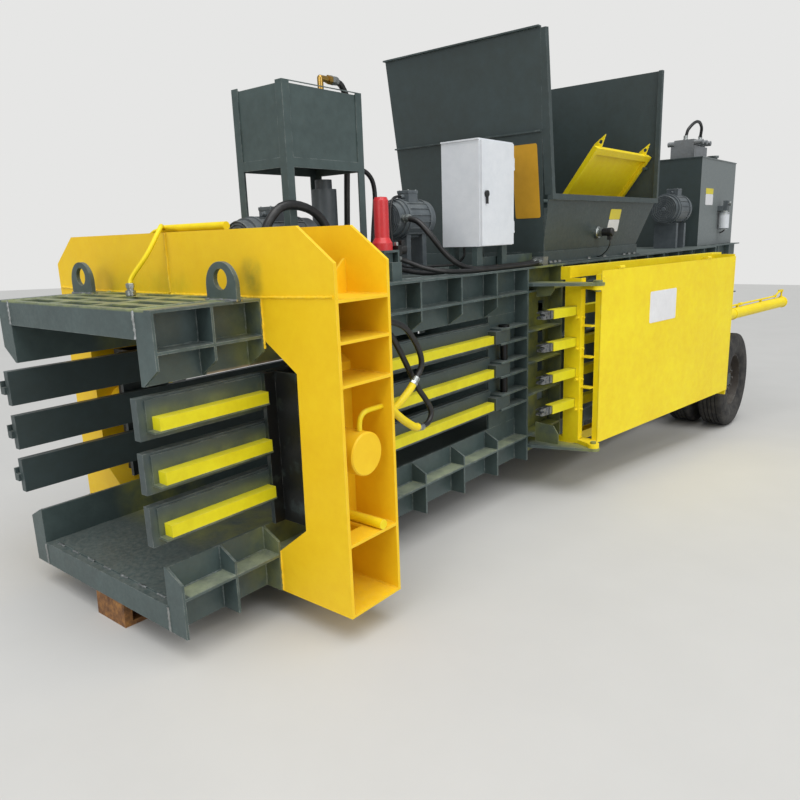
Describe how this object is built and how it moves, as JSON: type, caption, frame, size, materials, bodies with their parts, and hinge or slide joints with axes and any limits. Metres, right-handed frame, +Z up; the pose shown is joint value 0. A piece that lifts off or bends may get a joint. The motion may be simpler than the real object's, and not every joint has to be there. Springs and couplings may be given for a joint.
{
  "type": "horizontal baler",
  "caption": "Horizontal waste baler with open bale channel, squeezing side clamps under a yellow portal, swing-out needle unit, feed hopper and a rear oil tank, its rear end carried on road wheels.",
  "frame": {"origin": "on the ground under the middle of the machine, at the centre of the prop block at the bale exit", "axes": "+X along the machine from the bale exit to the cylinder end, +Y to the side away from the needle unit, +Z up"},
  "size_m": [8.7989, 2.8004, 3.2423],
  "materials": {
    "steel_green": "semi-gloss grey-green paint over welded plate",
    "dark_green": "dark grey-green paint",
    "portal_yellow": "golden yellow paint",
    "guard_yellow": "bright yellow paint",
    "bar_yellow": "lemon yellow paint",
    "bare_steel": "machined steel",
    "hard_chrome": "ground and chromed rod",
    "rusty_steel": "rusted plate with old primer",
    "brass": "plain brass fitting",
    "machine_grey": "grey machine enamel",
    "signal_red": "gloss red paint",
    "cabinet_grey": "light grey powder coat",
    "black_plastic": "moulded black plastic",
    "tank_grey": "grey paint, lighter side",
    "blackened_steel": "oiled black steel",
    "tyre": "dusty tread rubber",
    "rim_grey": "dull rim paint",
    "rubber": "black hydraulic hose"
  },
  "bodies": {
    "frame": {"floor_deck": "steel_green", "floor_liner": "steel_green", "near_lower_box": "steel_green", "far_lower_box": "steel_green", "near_upper_box": "steel_green", "far_upper_box": "steel_green", "exit_roof": "steel_green", "roof_deck": "steel_green", "needle_station": "steel_green", "near_press_wall": "steel_green", "far_press_wall": "steel_green", "shear_knife": "bare_steel", "rear_frame": "steel_green", "portal_front_plate": "portal_yellow", "portal_rear_plate": "portal_yellow", "portal_shelves": "portal_yellow", "squeeze_barrels": "portal_yellow", "clamp_pins": "blackened_steel", "lifting_lugs": "steel_green", "prop_block": "rusty_steel", "tank_stand": "steel_green", "header_tank": "steel_green", "tank_elbow": "brass", "pump_motors": "machine_grey", "accumulator": "signal_red", "accumulator_bracket": "steel_green", "control_cabinet": "cabinet_grey", "cabinet_stand": "steel_green", "hopper_base": "dark_green", "hopper_shell": "dark_green", "flap_shaft": "steel_green", "oil_tank": "tank_grey", "valve_block": "bare_steel", "rear_pump": "machine_grey", "main_barrel": "portal_yellow", "needle_bracket": "steel_green", "stub_axles": "dark_green", "hoses": "rubber", "oil_pipes": "guard_yellow"},
    "near_clamp_body": {"near_clamp": "dark_green", "near_clamp_bars": "bar_yellow"},
    "far_clamp_body": {"far_clamp": "dark_green", "far_clamp_bars": "bar_yellow"},
    "near_squeeze": {"near_squeeze_rod": "hard_chrome"},
    "far_squeeze": {"far_squeeze_rod": "hard_chrome"},
    "ram_body": {"ram": "dark_green", "ram_rod": "hard_chrome"},
    "needle_unit": {"needle_frame": "guard_yellow", "needle_barrel": "guard_yellow"},
    "guard": {"needle_guard": "guard_yellow"},
    "needle_carriage": {"needle_set": "bar_yellow", "needle_tips": "blackened_steel", "needle_rod": "hard_chrome"},
    "near_wheels": {"near_tyres": "tyre", "near_rims": "rim_grey"},
    "far_wheels": {"far_tyres": "tyre", "far_rims": "rim_grey"},
    "flap": {"feed_flap": "guard_yellow"},
    "door": {"cabinet_door": "cabinet_grey"},
    "latch": {"cabinet_latch": "black_plastic"}
  },
  "joints": [
    {"name": "ram_stroke", "type": "slide", "parent": "frame", "child": "ram_body", "axis": [-0.9993, 0, -0.0366], "range_m": [0, 2.1]},
    {"name": "near_clamp_hinge", "type": "hinge", "parent": "frame", "child": "near_clamp_body", "pos_m": [2.48756, -0.62, 0.93078], "axis": [0.0366, 0, -0.9993], "range_deg": [0, 3]},
    {"name": "far_clamp_hinge", "type": "hinge", "parent": "frame", "child": "far_clamp_body", "pos_m": [2.48756, 0.62, 0.93078], "axis": [-0.0366, 0, 0.9993], "range_deg": [0, 3]},
    {"name": "near_squeeze_stroke", "type": "slide", "parent": "frame", "child": "near_squeeze", "axis": [0, 1, 0], "range_m": [0, 0.1015]},
    {"name": "far_squeeze_stroke", "type": "slide", "parent": "frame", "child": "far_squeeze", "axis": [0, -1, 0], "range_m": [0, 0.1015]},
    {"name": "needle_unit_swing", "type": "hinge", "parent": "frame", "child": "needle_unit", "pos_m": [2.89755, -1.085, 1.45716], "axis": [0.0366, 0, -0.9993], "range_deg": [0, 82.5]},
    {"name": "needle_stroke", "type": "slide", "parent": "needle_unit", "child": "needle_carriage", "axis": [-0.9908, 0.1305, -0.0363], "range_m": [0, 1.4]},
    {"name": "guard_hinge", "type": "hinge", "parent": "needle_unit", "child": "guard", "pos_m": [3.88626, -1.19867, 1.61049], "axis": [-0.9908, 0.1305, -0.0363], "range_deg": [0, 75]},
    {"name": "near_wheel_axle", "type": "hinge", "parent": "frame", "child": "near_wheels", "pos_m": [5.74424, -1.04, 0.4535], "axis": [0, 1, 0], "continuous": true},
    {"name": "far_wheel_axle", "type": "hinge", "parent": "frame", "child": "far_wheels", "pos_m": [5.74424, 1.04, 0.4535], "axis": [0, 1, 0], "continuous": true},
    {"name": "feed_flap_hinge", "type": "hinge", "parent": "frame", "child": "flap", "pos_m": [4.32552, -0.305, 2.11192], "axis": [-0.9993, 0, -0.0366], "range_deg": [0, 70]},
    {"name": "cabinet_door_hinge", "type": "hinge", "parent": "frame", "child": "door", "pos_m": [2.58223, -0.61, 2.06051], "axis": [-0.0366, 0, 0.9993], "range_deg": [0, 100]},
    {"name": "door_latch", "type": "hinge", "parent": "door", "child": "latch", "pos_m": [2.23646, -0.61, 2.04783], "axis": [0, 1, 0], "range_deg": [0, 90]}
  ],
  "couplings": [
    {"joint": "far_clamp_hinge", "follows": "near_clamp_hinge", "ratio": 1},
    {"joint": "near_squeeze_stroke", "follows": "near_clamp_hinge", "m_per_rad": 1.922},
    {"joint": "far_squeeze_stroke", "follows": "near_clamp_hinge", "m_per_rad": 1.922}
  ]
}
